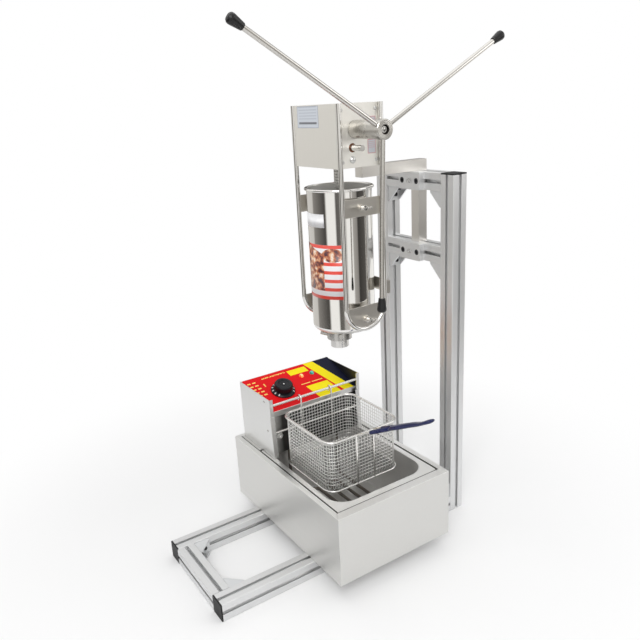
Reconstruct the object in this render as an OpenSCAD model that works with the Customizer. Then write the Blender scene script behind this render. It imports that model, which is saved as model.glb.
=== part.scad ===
// Churro maker: slotted-profile working stand, hanging rack-driven dough extruder with a
// three-arm capstan lever, and a counter-top electric deep fryer with basket.
// X runs along the base rails (uprights at +X), Y across them, Z up, floor at Z = 0.

/* [Stand] */
// Depth of the stand along its base rails, mm
stand_depth = 670; // [640:1:760]
// Width of the stand over both rails, mm
stand_width = 265; // [255:1:300]
// Height of the two uprights, mm
stand_height = 830; // [800:1:900]
// Height between the centres of the two cross beams, mm
beam_spacing = 163; // [140:1:200]
// Side of the square slotted profile, mm
profile = 40; // [38:1:44]

/* [Extruder] */
// Outer diameter of the dough hopper, mm
hopper_d = 140; // [130:1:146]
// Height of the dough hopper, mm
hopper_h = 314; // [290:1:330]
// Reach of each lever from the shaft axis to the knob's end, mm
lever_length = 357; // [300:1:380]
// Side of the square support tube, mm
tube = 25; // [22:1:28]

/* [Fryer] */
// Width of the fryer's body, mm
fryer_w = 300; // [290:1:330]
// Length of the fryer's body, mm
fryer_l = 452; // [446:1:500]
// Height of the fryer's body, mm
fryer_h = 159; // [155:1:185]
// Width of the basket's rim, mm
basket_w = 196; // [180:1:210]
// Length of the basket's rim, mm
basket_l = 192; // [170:1:200]

/* [Hidden] */
$fn = 48;
gap = 0.3;                      // between bodies that move past each other
sheet = 1.5;                    // sheet steel
bright = [0.78, 0.78, 0.77];
steel = [0.72, 0.71, 0.69];
warm = [0.80, 0.78, 0.74];
alu = [0.84, 0.85, 0.86];
black = [0.08, 0.08, 0.09];
// stand
ps = profile / 40;
half_p = profile / 2;
cap_t = 3;
rail_y = (stand_width - profile) / 2;
x_front = -stand_depth / 2;
x_back = stand_depth / 2;
beam_x = x_back - half_p;
beam_hi = stand_height - half_p;
beam_lo = beam_hi - beam_spacing;
slot_outline = [[-4.1, 21], [-4.1, 15.5], [-10, 15.5], [-10, 12.5], [-5.8, 8.3],
                [5.8, 8.3], [10, 12.5], [10, 15.5], [4.1, 15.5], [4.1, 21]];
leg = 36;                       // corner bracket's leg
bracket_w = 34;
bracket_hole = 22;
block_t = 15;                   // clamp block
block_w = 70;
block_y = -5;
block_screw = 24;
// extruder
axis_x = 89;                    // hopper, piston and rack
arm_z = stand_height + gap;
tube_wall = 2;
house_z = arm_z + tube + 5.5;
house_w = 108;
house_h = 124;
rod_r = 5;
rod_y = hopper_d / 2 + 13;
rod_x = 51.5;
house_y = rod_y - rod_r;
house_x0 = axis_x - house_w / 2;
house_x1 = axis_x + house_w / 2;
mount_t = 5;
arm_x0 = house_x1 + mount_t;
rim_z = house_z - 42;
hopper_z = rim_z - hopper_h;
hopper_r = hopper_d / 2;
bend_r = rod_x;
bend_z = hopper_z + 14 + bend_r;
strap_z = rim_z - 39;
low_screw_z = bend_z - 29;
// drive
shaft_r = 6;
rack_m = 2;
rack_teeth_n = 12;
pinion_r = rack_m * rack_teeth_n / 2;
rack_x = axis_x - 5;            // pitch line
spindle_x = rack_x - pinion_r;
spindle_z = house_z + 39.2;
gear_m = 1.5;
pinion_n = 14;
gear_n = 34;
centre_d = gear_m * (pinion_n + gear_n) / 2;
drive_rise = 35;
drive_run = sqrt(centre_d * centre_d - drive_rise * drive_rise);
mesh_a = atan2(drive_rise, drive_run);
crank_x = spindle_x + drive_run;
crank_z = spindle_z + drive_rise;
crank_y = -house_y - 86;        // plane of the levers
rack_half = 8;
piston_z = hopper_z + 11;
piston_h = 16;
rack_z0 = piston_z + piston_h;
rack_z1 = house_z + house_h - 1;
outlet_x = axis_x - 15;
neck_z = hopper_z - 19;
// fryer
fryer_x = 41;
fryer_y = -7;
fx0 = fryer_x - fryer_w / 2;
fx1 = fryer_x + fryer_w / 2;
fy0 = fryer_y - fryer_l / 2;
fy1 = fryer_y + fryer_l / 2;
fz0 = profile + gap;
fz1 = fz0 + fryer_h;
flange = 12;
flange_front = 20;
ledge_z = fz1 - 3;
pan_w = fryer_w - 28;
head_room = 125;                // of the body's length that the pan leaves free
pan_l = fryer_l - head_room;
pan_y0 = fy0 + flange_front + 1;
pan_y1 = pan_y0 + pan_l;
pan_top = ledge_z + 2;
pan_depth = 146;
bowl_w = pan_w - 28;
bowl_r = 45;
bowl_y0 = pan_y0 + 20;
bowl_y1 = pan_y1 - 14;
head_w = fryer_w - 44;
hx0 = fryer_x - head_w / 2;
hx1 = fryer_x + head_w / 2;
head_y1 = fy1 - 11;
head_y0 = head_y1 - 146;        // front edge of the cheeks
panel_y0 = head_y0 + 12;
panel_y1 = head_y1 - 8;
head_z = fz1 + gap;
panel_z0 = fz1 + 108;
panel_z1 = fz1 + 148;
panel_a = atan2(panel_z1 - panel_z0, panel_y1 - panel_y0);
panel_t = 1.5;
cheek_z = panel_z1 - 1;         // top of the cheeks
tab_z = panel_z0 - 3;           // foot of the folded edge beside the panel
fold = 9;                       // width of the folded front edges
bar_r = 3;
bar_y = head_y0 + sheet + gap + bar_r;
bar_z = fz1 + 130;
bar_drop = 70;                  // from the hanging bar down to the rest bar
knob_x = fryer_x - 51;
knob_s = 61;                    // up the panel from its front edge
amber_x = fryer_x + 20;
green_x = fryer_x + 51;
lamp_s = 90;
basket_x = 40;
hook_r = 6.2;                   // the hook's centre line, with play round the bar
hook_z = bar_z + bar_r + gap + 2 - hook_r;
hook_x = 43;                    // half the spread of the hooks
basket_y1 = bar_y - hook_r + 0.5;
basket_y0 = basket_y1 - basket_l;
rim_h = fz1 + 104;
basket_h = 120;
basket_z = rim_h - basket_h;
floor_z = basket_z + 1.2;       // underside of the mesh
wire_r = 2.5;
basket_r = 28;
grip_y = 23;                    // half the gap of the handle's prongs
grip_a = 27;
grip_in = 9;                    // each prong's slant towards the grip
prong_l = 107.5;

function involute(a) = tan(a) * 180 / PI - a;

module slotted_profile(length) {
    linear_extrude(length) difference() {
        union() {
            square([profile - 3, profile], center = true);
            square([profile, profile - 3], center = true);
            for (x = [-1, 1], y = [-1, 1]) translate([x, y] * (half_p - 1.5)) circle(r = 1.5);
        }
        for (a = [0 : 90 : 270]) rotate(a) polygon([for (p = slot_outline) p * ps]);
        circle(d = 7 * ps);
    }
}

module rail(y) {
    translate([x_front + cap_t, y, half_p]) rotate([0, 90, 0])
        slotted_profile(x_back - profile - x_front - cap_t);
}

module cross_bar(x, z) {
    translate([x, -rail_y + half_p, z]) rotate([-90, 0, 0])
        slotted_profile(2 * rail_y - profile);
}

module base_rail_near() color(alu) rail(-rail_y);
module base_rail_far() color(alu) rail(rail_y);
module cross_rail_front() color(alu) cross_bar(x_front + half_p, half_p);
module cross_rail_rear() color(alu) cross_bar(beam_x, half_p);
module upright_near() color(alu) translate([beam_x, -rail_y, 0]) slotted_profile(stand_height - cap_t);
module upright_far() color(alu) translate([beam_x, rail_y, 0]) slotted_profile(stand_height - cap_t);

module milled_beam(z) {
    difference() {
        cross_bar(beam_x, z);
        translate([beam_x, 0, z]) cube([tube + 2 * gap, tube + 2 * gap, 2 * profile], center = true);
    }
}

module beam_upper() color(alu) milled_beam(beam_hi);
module beam_lower() color(alu) milled_beam(beam_lo);

module end_cap() {
    linear_extrude(cap_t) union() {
        square([profile - 3, profile], center = true);
        square([profile, profile - 3], center = true);
        for (x = [-1, 1], y = [-1, 1]) translate([x, y] * (half_p - 1.5)) circle(r = 1.5);
    }
    translate([0, 0, -8]) cylinder(d = 7 * ps - 0.1, h = 8);
}

module end_caps() color(black) {
    for (s = [-1, 1]) {
        translate([x_front + cap_t, s * rail_y, half_p]) rotate([0, -90, 0]) end_cap();
        translate([beam_x, s * rail_y, stand_height - cap_t]) end_cap();
    }
}

// puts its children in each inner corner: legs along +X and +Z, width along Y
module each_corner() {
    for (s = [-1, 1]) {
        for (z = [beam_lo, beam_hi])
            translate([beam_x, s * (rail_y - half_p), z - half_p])
                rotate(-90 * s) mirror([0, 0, 1]) children();
        translate([x_back - profile, s * rail_y, profile]) rotate(180) children();
        translate([x_front + profile, s * (rail_y - half_p), half_p]) rotate([90 * s, 0, 0]) children();
        translate([x_back - profile, s * (rail_y - half_p), half_p])
            rotate([90 * s, 0, 0]) rotate(180) children();
    }
}

module corner_bracket() {
    plate = 4;
    web = 3.5;
    difference() {
        translate([0, bracket_w / 2, 0]) rotate([90, 0, 0]) linear_extrude(bracket_w)
            polygon([[0, 0], [leg, 0], [leg, plate + 1], [plate + 1, leg], [0, leg]]);
        translate([plate, -bracket_w / 2 + web, plate]) cube([leg, bracket_w - 2 * web, leg]);
        translate([bracket_hole, 0, -1]) cylinder(d = 6.4, h = plate + 2);
        translate([-1, 0, bracket_hole]) rotate([0, 90, 0]) cylinder(d = 6.4, h = plate + 2);
    }
}

module corner_brackets() color(alu) each_corner() corner_bracket();

// puts its children on both legs of a corner bracket, +Z away from the profile
module each_leg() {
    translate([bracket_hole, 0, 0]) children();
    translate([0, 0, bracket_hole]) rotate([0, 90, 0]) children();
}

module cap_screw(d, head_d, head_h, base, shank) {
    difference() {
        union() {
            translate([0, 0, base]) cylinder(d = head_d, h = head_h);
            translate([0, 0, base - shank]) cylinder(d = d, h = shank);
        }
        translate([0, 0, base + head_h * 0.45]) cylinder(d = head_d * 0.55, h = head_h, $fn = 6);
    }
}

module bracket_screws() color(black)
    each_corner() each_leg() cap_screw(6, 10, 6, 4, 12);

module slot_nut(hole, depth) {
    translate([0, 0, -4.5 * ps - depth / 2]) difference() {
        cube([11, 11, depth], center = true);
        cylinder(d = hole, h = 2 * depth, center = true);
    }
}

module slot_nuts() color(steel) {
    each_corner() each_leg() slot_nut(6, 4);
    each_block() for (s = [-1, 1]) translate([0, s * block_screw, 0]) rotate([0, -90, 0]) slot_nut(8, 4);
}

// puts its children at the clamp blocks, origin on the beam's -X face
module each_block() {
    for (z = [beam_lo, beam_hi]) translate([x_back - profile, block_y, z]) children();
}

module clamp_block() {
    c = 1.5;
    y = block_w / 2;
    difference() {
        translate([-block_t, 0, 0]) rotate([90, 0, 90]) linear_extrude(block_t)
            polygon([[-y + c, -half_p], [y - c, -half_p], [y, -half_p + c], [y, half_p - c],
                     [y - c, half_p], [-y + c, half_p], [-y, half_p - c], [-y, -half_p + c]]);
        for (s = [-1, 1]) translate([0, s * block_screw, 0]) rotate([0, -90, 0]) {
            translate([0, 0, 7]) cylinder(d = 13.6, h = block_t);
            translate([0, 0, -1]) cylinder(d = 8.4, h = block_t);
        }
        rotate([0, -90, 0]) translate([0, 0, -1]) cylinder(d = 6, h = block_t + 2);
    }
}

module clamp_blocks() color(alu) each_block() clamp_block();

module clamp_screws() color(black)
    each_block() for (s = [-1, 1]) translate([0, s * block_screw, 0]) rotate([0, -90, 0])
        cap_screw(8, 13, 7.5, 7, 15);

module post_set_screws() color(bright)
    each_block() rotate([0, -90, 0]) {
        reach = half_p - tube / 2 - gap;
        translate([0, 0, -reach]) cylinder(d = 6, h = block_t + 2 + reach);
        translate([0, 0, block_t]) difference() {
            cylinder(d = 10, h = 4, $fn = 6);
            translate([0, 0, -1]) cylinder(d = 6, h = 6);
        }
    }

// mitre plane between arm and post, as a wedge below and right of it
module mitre_wedge() {
    x = beam_x - tube / 2;
    translate([0, tube, 0]) rotate([90, 0, 0]) linear_extrude(2 * tube)
        polygon([[x, arm_z], [x + tube, arm_z + tube], [x + 2 * tube, arm_z + tube],
                 [x + 2 * tube, arm_z - 400], [x, arm_z - 400]]);
}

module support_arm() color(warm) {
    length = beam_x + tube / 2 - arm_x0;
    difference() {
        translate([arm_x0, -tube / 2, arm_z]) cube([length, tube, tube]);
        translate([arm_x0 - 1, -tube / 2 + tube_wall, arm_z + tube_wall])
            cube([length + 1 - tube_wall, tube - 2 * tube_wall, tube - 2 * tube_wall]);
        mitre_wedge();
    }
}

module support_post() color(warm) {
    z0 = beam_lo - half_p - 8;
    x0 = beam_x - tube / 2;
    intersection() {
        difference() {
            translate([x0, -tube / 2, z0]) cube([tube, tube, arm_z + tube - z0]);
            translate([x0 + tube_wall, -tube / 2 + tube_wall, z0 + tube_wall])
                cube([tube - 2 * tube_wall, tube - 2 * tube_wall, arm_z + tube - z0 - 2 * tube_wall]);
        }
        mitre_wedge();
    }
}

module mount_points() {
    for (y = [-33, 33], z = [20, 62]) translate([house_x1, y, house_z + z]) rotate([0, 90, 0]) children();
}

module mount_bracket() color(warm) {
    difference() {
        translate([house_x1, 0, 0]) rotate([90, 0, 90]) linear_extrude(mount_t)
            polygon([[-tube / 2, arm_z], [tube / 2, arm_z], [tube / 2, house_z], [45, house_z],
                     [45, house_z + 74], [37, house_z + 82], [-37, house_z + 82], [-45, house_z + 74],
                     [-45, house_z], [-tube / 2, house_z]]);
        mount_points() translate([0, 0, -1]) cylinder(d = 5.4, h = mount_t + 2);
    }
}

module gear_housing() color(warm) {
    difference() {
        translate([house_x0, -house_y + sheet, house_z]) cube([house_w, 2 * (house_y - sheet), house_h]);
        translate([house_x0 + sheet, -house_y, house_z + sheet])
            cube([house_w - 2 * sheet, 2 * house_y, house_h - 2 * sheet]);
        translate([axis_x, 0, house_z + house_h / 2]) cube([24, 22, 2 * house_h], center = true);
        mount_points() translate([0, 0, -3]) cylinder(d = 5.4, h = 4);
    }
}

module side_outline() {
    translate([house_x0, house_z]) square([house_w, house_h]);
}

// corner positions of the side plates' screws, in X and Z
corner_in = 12;
plate_corners = [for (x = [house_x0 + corner_in, house_x1 - corner_in],
                      z = [house_z + corner_in, house_z + house_h - corner_in]) [x, z]];

module side_plate_near()
    translate([0, -house_y + sheet, 0]) rotate([90, 0, 0]) linear_extrude(sheet) difference() {
        side_outline();
        translate([crank_x, crank_z]) circle(d = 18);
        translate([spindle_x, spindle_z]) circle(d = 18);
        translate([spindle_x, house_z + 16]) circle(d = 9);
        for (p = plate_corners) translate(p) circle(d = 4.3);
    }

module side_plates() color(warm) {
    side_plate_near();
    translate([0, house_y, 0]) rotate([90, 0, 0]) linear_extrude(sheet) difference() {
        side_outline();
        for (p = plate_corners) translate(p) circle(d = 4.3);
    }
}

// inner bearing plate with the four bars that tie the side plates together
module gear_plate() color(steel) {
    translate([0, -18, 0]) rotate([90, 0, 0]) linear_extrude(4) difference() {
        translate([house_x0 + sheet, house_z + sheet])
            square([house_w - 2 * sheet, house_h - 2 * sheet]);
        translate([crank_x, crank_z]) circle(d = 18);
        translate([spindle_x, spindle_z]) circle(d = 18);
    }
    for (p = plate_corners) translate([p[0], house_y - sheet, p[1]]) rotate([90, 0, 0])
        cylinder(d = 9, h = 2 * (house_y - sheet));
}

// domed side screws, bracket screws and the grease plug under the spindle
module housing_screws() color(bright) {
    for (s = [-1, 1], p = plate_corners)
        translate([p[0], s * house_y, p[1]]) rotate([-90 * s, 0, 0]) {
            cylinder(d1 = 8, d2 = 5, h = 2.4);
            translate([0, 0, -sheet]) cylinder(d = 4.2, h = sheet);
        }
    mount_points() cap_screw(5, 8.5, 5, mount_t, 9);
    translate([spindle_x, -house_y, house_z + 16]) rotate([90, 0, 0]) {
        intersection() {
            translate([0, 0, -4]) sphere(r = 8.6);
            cylinder(r = 9, h = 6);
        }
        translate([0, 0, -sheet - 6]) cylinder(d = 9, h = sheet + 6);
    }
}

module bearing(x, z, y0, y1, flange_y0, flange_y1) {
    translate([x, 0, z]) rotate([90, 0, 0]) difference() {
        union() {
            translate([0, 0, -y1]) cylinder(d = 18, h = y1 - y0);
            translate([0, 0, -flange_y1]) cylinder(d = 24, h = flange_y1 - flange_y0);
        }
        translate([0, 0, -y1 - 1]) cylinder(r = shaft_r + 0.05, h = y1 - y0 + 2);
    }
}

module shaft_bearings() color([0.72, 0.55, 0.25]) {
    inner = house_y - sheet;
    for (p = [[crank_x, crank_z], [spindle_x, spindle_z]]) {
        bearing(p[0], p[1], -inner, -inner + 8, -inner, -inner + 3);
        bearing(p[0], p[1], -22, -14, -18, -15);
    }
    bearing(spindle_x, spindle_z, inner - 8, inner, inner - 3, inner);
}

module rack_guides() color([0.92, 0.92, 0.90])
    for (z = [house_z + sheet, house_z + house_h - sheet - 10])
        difference() {
            translate([axis_x - 20, -14, z]) cube([40, 28, 10]);
            translate([rack_x - 1.35, -rack_half - 0.1, z - 1]) cube([14.45, 2 * rack_half + 0.2, 12]);
        }

// the rod loops: two long legs and a half ring
module rod_loop(y) {
    top = house_z + house_h;
    for (s = [-1, 1]) translate([axis_x + s * rod_x, y, bend_z]) cylinder(r = rod_r, h = top - bend_z);
    translate([axis_x, y, bend_z]) rotate([-90, 0, 0])
        rotate_extrude(angle = 180, $fn = 96) translate([bend_r, 0]) circle(r = rod_r);
}

module rod_loop_near() color(bright) rod_loop(-rod_y);
module rod_loop_far() color(bright) rod_loop(rod_y);

// strap plate on the hopper's side of a loop, with the boss of its clamp screw; s = -1 near, 1 far
module side_strap(s) {
    w = 2 * rod_x - 2;
    difference() {
        union() {
            translate([axis_x - w / 2, s > 0 ? house_y - 2 : -house_y, strap_z - 18.5]) cube([w, 2, 37]);
            translate([axis_x, s * (house_y - 1), strap_z]) rotate([-90 * s, 0, 0]) cylinder(d = 13, h = 6);
        }
        translate([axis_x, s * (house_y - 4), strap_z]) rotate([-90 * s, 0, 0]) cylinder(d = 6.1, h = 12);
    }
}

module side_straps() color(steel) for (s = [-1, 1]) side_strap(s);

// half-moon plate welded into the bend of a loop
module bend_plate(s) {
    difference() {
        union() {
            intersection() {
                translate([axis_x, s * (rod_y + 1), bend_z]) rotate([90 * s, 0, 0])
                    cylinder(r = bend_r - rod_r - 0.1, h = 2, $fn = 96);
                translate([axis_x - 60, s * rod_y - 4, bend_z - 60]) cube([120, 8, 60]);
            }
            translate([axis_x, s * rod_y, low_screw_z]) rotate([-90 * s, 0, 0]) cylinder(d = 13, h = 6);
        }
        translate([axis_x, s * (rod_y - 3), low_screw_z]) rotate([-90 * s, 0, 0]) cylinder(d = 6.1, h = 12);
    }
}

module bend_plates() color(steel) for (s = [-1, 1]) bend_plate(s);

module rear_strap() color(steel) {
    z = rim_z - 235;
    x1 = axis_x + hopper_r + 2;
    x0 = axis_x + rod_x - 6;
    difference() {
        translate([x0, -house_y, z]) cube([x1 - x0, 2 * house_y, 28]);
        translate([x0 - 1, -house_y + 2, z - 1]) cube([x1 - x0 - 1, 2 * (house_y - 2), 30]);
    }
}

// clamp screw with two wings, its tip just off the hopper; y is the boss's outer face
module wing_screw(s, y, z) {
    translate([axis_x, s * (hopper_r + gap), z]) rotate([-90 * s, 0, 0]) {
        shank = y - hopper_r - gap;
        cylinder(d = 6, h = shank + 3);
        translate([0, 0, shank + 1]) {
            cylinder(d1 = 12, d2 = 10, h = 9);
            for (a = [-1, 1]) rotate([90, 0, 0]) translate([a * 8.5, 9, -1.5]) difference() {
                linear_extrude(3) union() {
                    circle(r = 6.5);
                    translate([-a * 4.5 - 3, -8]) square([6, 9]);
                }
                translate([0, 0, -1]) cylinder(r = 2.6, h = 5);
            }
        }
    }
}

module wing_upper_near() color(bright) wing_screw(-1, house_y + 5, strap_z);
module wing_upper_far() color(bright) wing_screw(1, house_y + 5, strap_z);
module wing_lower_near() color(bright) wing_screw(-1, rod_y + 6, low_screw_z);
module wing_lower_far() color(bright) wing_screw(1, rod_y + 6, low_screw_z);

module hopper() color(bright) {
    r = hopper_r;
    c = 12;
    w = 1.5;
    difference() {
        union() {
            translate([axis_x, 0, 0]) rotate_extrude($fn = 128) {
                difference() {
                    union() {
                        translate([0, hopper_z]) square([r - c, w]);
                        translate([r - w, hopper_z + c]) square([w, hopper_h - c - 3]);
                        intersection() {
                            translate([r - c, hopper_z + c]) difference() {
                                circle(r = c);
                                circle(r = c - w);
                            }
                            translate([r - c, hopper_z]) square([c, c]);
                        }
                    }
                }
                translate([r + 1.5, rim_z - 3]) circle(r = 3);
            }
            translate([outlet_x, 0, neck_z]) cylinder(d = 46, h = hopper_z + w / 2 - neck_z);
        }
        translate([outlet_x, 0, neck_z - 1]) cylinder(d = 40, h = 40);
    }
}

module nozzle_nut() color(bright) {
    z0 = neck_z - 6;
    translate([outlet_x, 0, 0]) difference() {
        union() {
            translate([0, 0, z0]) cylinder(d = 56, h = 20);
            for (a = [60 : 90 : 330]) rotate(a) translate([26, 0, z0 + 10]) rotate([0, 72, 0])
                cylinder(d = 9, h = 17);
        }
        translate([0, 0, z0 - 1]) cylinder(d = 41.6, h = 30);
        translate([0, 0, z0 + 3]) cylinder(d = 46.1, h = 30);
    }
}

module nozzle() color(bright) {
    points = 8;
    translate([outlet_x, 0, 0]) difference() {
        union() {
            translate([0, 0, neck_z - 2.7]) cylinder(d = 45.4, h = 2.7);
            translate([0, 0, neck_z - 25]) cylinder(d = 41, h = 25);
        }
        translate([0, 0, neck_z - 22]) cylinder(d = 37, h = 30);
        translate([0, 0, neck_z - 26]) linear_extrude(6)
            polygon([for (i = [0 : 2 * points - 1])
                (i % 2 == 0 ? 9 : 5.5) * [cos(i * 180 / points), sin(i * 180 / points)]]);
    }
}

module piston() color(steel)
    translate([axis_x, 0, piston_z]) difference() {
        cylinder(r = hopper_r - 3, h = piston_h);
        difference() {
            translate([0, 0, 4]) cylinder(r = hopper_r, h = 8);
            translate([0, 0, 3]) cylinder(r = hopper_r - 8, h = 10);
        }
        translate([0, 0, -1]) cylinder(d = 10, h = piston_h + 2);
    }

module piston_seal() color([0.85, 0.30, 0.20])
    translate([axis_x, 0, piston_z + 4]) difference() {
        cylinder(r = hopper_r - 1.5 - 0.1, h = 8);
        translate([0, 0, -1]) cylinder(r = hopper_r - 8, h = 10);
    }

module rack() color(steel) {
    pitch = PI * rack_m;
    tall = 1.3;
    deep = 2.5;
    back = 13;
    w_tip = pitch / 4 - 0.08 - tall * tan(20);
    w_root = pitch / 4 - 0.08 + deep * tan(20);
    first = ceil((rack_z0 + 14 - spindle_z) / pitch - 0.5);
    last = floor((rack_z1 - 3 - spindle_z) / pitch - 0.5);
    teeth = [for (i = [first : last]) let (z = spindle_z + (i + 0.5) * pitch)
        each [[-deep, z - w_root], [tall, z - w_tip], [tall, z + w_tip], [-deep, z + w_root]]];
    outline = concat([[tall, rack_z0], [tall, rack_z0 + 8], [-deep, rack_z0 + 8]],
                     teeth, [[-deep, rack_z1], [-back, rack_z1], [-back, rack_z0]]);
    translate([rack_x, rack_half, 0]) rotate([90, 0, 0]) linear_extrude(2 * rack_half)
        polygon([for (p = outline) [-p[0], p[1]]]);
    // stud and nut through the piston
    translate([axis_x, 0, piston_z - 6.5]) cylinder(d = 10, h = piston_h + 7);
    translate([axis_x, 0, piston_z - 6.5]) cylinder(d = 19, h = 6.5, $fn = 6);
}

// spur gear outline with true involute flanks, a tooth's centre on +X
module gear_2d(m, n, addendum, thin) {
    r = m * n / 2;
    rb = r * cos(20);
    rf = r - 1.25 * m;
    ra = r + addendum;
    r0 = max(rb, rf);
    half = 90 / n - thin;
    steps = 4;
    flank = [for (i = [0 : steps]) let (q = r0 + (ra - r0) * i / steps)
        [q, half + involute(20) - involute(acos(min(1, rb / q)))]];
    rim = concat([[rf, flank[0][1]]], flank);
    half_tooth = [for (i = [len(rim) - 1 : -1 : 0]) rim[i]];
    polygon([for (t = [0 : n - 1])
        each concat([for (p = rim) p[0] * [cos(t * 360 / n - p[1]), sin(t * 360 / n - p[1])]],
                    [for (p = half_tooth) p[0] * [cos(t * 360 / n + p[1]), sin(t * 360 / n + p[1])]])]);
}

module wheel(x, z, y0, y1, turn, m, n, addendum, thin) {
    translate([x, y1, z]) rotate([90, 0, 0]) linear_extrude(y1 - y0) difference() {
        rotate(turn) gear_2d(m, n, addendum, thin);
        circle(r = shaft_r);
    }
}

module spindle_gear() color(steel)
    wheel(spindle_x, spindle_z, -43, -31, mesh_a + 180 / gear_n, gear_m, gear_n, 1.3, 0.15);

module rack_pinion() color(steel)
    wheel(spindle_x, spindle_z, -10, 10, 0, rack_m, rack_teeth_n, 2, 0.35);

// handle shaft, turned in one with its pinion
module crank_shaft() color(bright) {
    inner = house_y - sheet - 8;
    translate([crank_x, -30, crank_z]) rotate([90, 0, 0]) linear_extrude(14)
        rotate(mesh_a + 180) gear_2d(gear_m, pinion_n, 1.4, 0.35);
    translate([crank_x, -15, crank_z]) rotate([90, 0, 0]) cylinder(r = shaft_r, h = -crank_y + 4 - 15);
    translate([crank_x, -inner + gap + 5, crank_z]) rotate([90, 0, 0]) difference() {
        cylinder(d = 20, h = 5);
        translate([0, 0, -1]) cylinder(r = shaft_r, h = 7);
    }
}

module spindle_shaft() color(bright) {
    inner = house_y - sheet - 8;
    end_y = house_y - sheet - 2;
    difference() {
        translate([spindle_x, end_y, spindle_z]) rotate([90, 0, 0])
            cylinder(r = shaft_r, h = end_y + house_y + 33);
        translate([spindle_x, -house_y - 26, spindle_z - 20]) cylinder(d = 4, h = 40);
    }
    for (y = [-inner + gap + 5, inner - gap]) translate([spindle_x, y, spindle_z])
        rotate([90, 0, 0]) difference() {
            cylinder(d = 20, h = 5);
            translate([0, 0, -1]) cylinder(r = shaft_r, h = 7);
        }
}

lever_seat = 12;                // the rods' inner ends, from the shaft's axis

module each_lever() {
    for (a = [-92, 28, 148]) translate([crank_x, crank_y, crank_z]) rotate([0, -a, 0])
        rotate([0, 90, 0]) children();
}

module lever_hub() color(bright) {
    back_y = -house_y - 0.8;
    front = -crank_y + 8;
    c = 1.5;
    difference() {
        translate([crank_x, 0, crank_z]) rotate([90, 0, 0]) rotate_extrude($fn = 96)
            polygon([[shaft_r, -back_y], [18, -back_y], [18, front - 16], [19.25 - c, front - 16],
                     [19.25, front - 16 + c], [19.25, front - c], [19.25 - c, front], [9, front],
                     [9, front - 5], [shaft_r, front - 5]]);
        each_lever() translate([0, 0, lever_seat]) cylinder(d = 10, h = 20);
    }
}

module lever_rods() color(bright)
    each_lever() translate([0, 0, lever_seat]) cylinder(d = 10, h = lever_length - 12 - lever_seat);

module lever_knobs() color(black)
    each_lever() translate([0, 0, lever_length - 30]) rotate_extrude()
        polygon([[5, 0], [6.2, 0], [6.8, 1], [9.4, 19], [9.8, 23], [9.2, 26.5], [7, 29], [4, 30],
                 [0, 30], [0, 18], [5, 18]]);

// ---- fryer ----

module fryer_body() color(warm) {
    difference() {
        translate([fx0, fy0, fz0]) cube([fryer_w, fryer_l, fryer_h]);
        translate([fx0 + sheet, fy0 + sheet, fz0 + sheet])
            cube([fryer_w - 2 * sheet, fryer_l - 2 * sheet, fryer_h - 2 * sheet - 3]);
        translate([fx0 + flange, fy0 + flange_front, ledge_z])
            cube([fryer_w - 2 * flange, fryer_l - flange_front - 10, 10]);
        translate([fx0 + flange + 8, fy0 + flange_front + 8, fz0 + fryer_h / 2])
            cube([fryer_w - 2 * flange - 16, fryer_l - flange_front - 26, fryer_h]);
        // mitres of the folded top edge at the front corners
        for (s = [0, 1]) translate([s * 2 * fryer_x, 0, fz1 - 0.5]) mirror([s, 0, 0])
            linear_extrude(1) translate([fx0, fy0])
                polygon([[-1, -1], [0, -1], [flange + 1, flange_front], [flange + 1, flange_front + 1],
                         [flange, flange_front + 1]]);
    }
}

module fryer_feet() color(black)
    for (x = [fx0 + 20, fx1 - 20], y = [fy0 + 22, fy1 - 30])
        translate([x, y, fz0 - 12]) {
            cylinder(d1 = 19, d2 = 22, h = 12);
        }

module rounded(w, l, r) {
    union() {
        square([w - 2 * r, l], center = true);
        square([w, l - 2 * r], center = true);
        for (x = [-1, 1], y = [-1, 1]) translate([x * (w / 2 - r), y * (l / 2 - r)]) circle(r = r);
    }
}

module pan() color(steel) {
    t = 1.2;
    bowl_l = bowl_y1 - bowl_y0;
    difference() {
        union() {
            translate([fryer_x, (pan_y0 + pan_y1) / 2, ledge_z]) linear_extrude(pan_top - ledge_z)
                rounded(pan_w, pan_l, 12);
            translate([fryer_x, (bowl_y0 + bowl_y1) / 2, pan_top - pan_depth])
                linear_extrude(pan_depth - 1) rounded(bowl_w + 2 * t, bowl_l + 2 * t, bowl_r + 1);
        }
        translate([fryer_x, (bowl_y0 + bowl_y1) / 2, pan_top - pan_depth + t])
            linear_extrude(pan_depth + 10) rounded(bowl_w, bowl_l, bowl_r);
        translate([fryer_x, (bowl_y0 + bowl_y1) / 2, pan_top - 0.8])
            linear_extrude(2) rounded(bowl_w + 3, bowl_l + 3, bowl_r + 1.5);
    }
}

// side sheet of the head, its front edges folded inwards in two steps; s = 0 left, 1 right
module cheek(s) {
    y_low = head_y0 + 1.5;
    y_foot = head_y0 - 6;
    translate([s * 2 * fryer_x, 0, 0]) mirror([s, 0, 0]) translate([hx0, 0, 0]) rotate([90, 0, 90]) {
        linear_extrude(sheet)
            polygon([[head_y1, head_z], [head_y1, cheek_z], [head_y0, cheek_z], [head_y0, tab_z],
                     [y_low, tab_z - 2], [y_foot, head_z]]);
        linear_extrude(fold)
            translate([head_y0, tab_z]) square([sheet, cheek_z - tab_z]);
        linear_extrude(fold + 2)
            polygon([[y_low, tab_z - 2], [y_foot, head_z], [y_foot + sheet, head_z],
                     [y_low + sheet, tab_z - 2]]);
    }
}

module head_cheeks() color(warm) for (s = [0, 1]) cheek(s);

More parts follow.
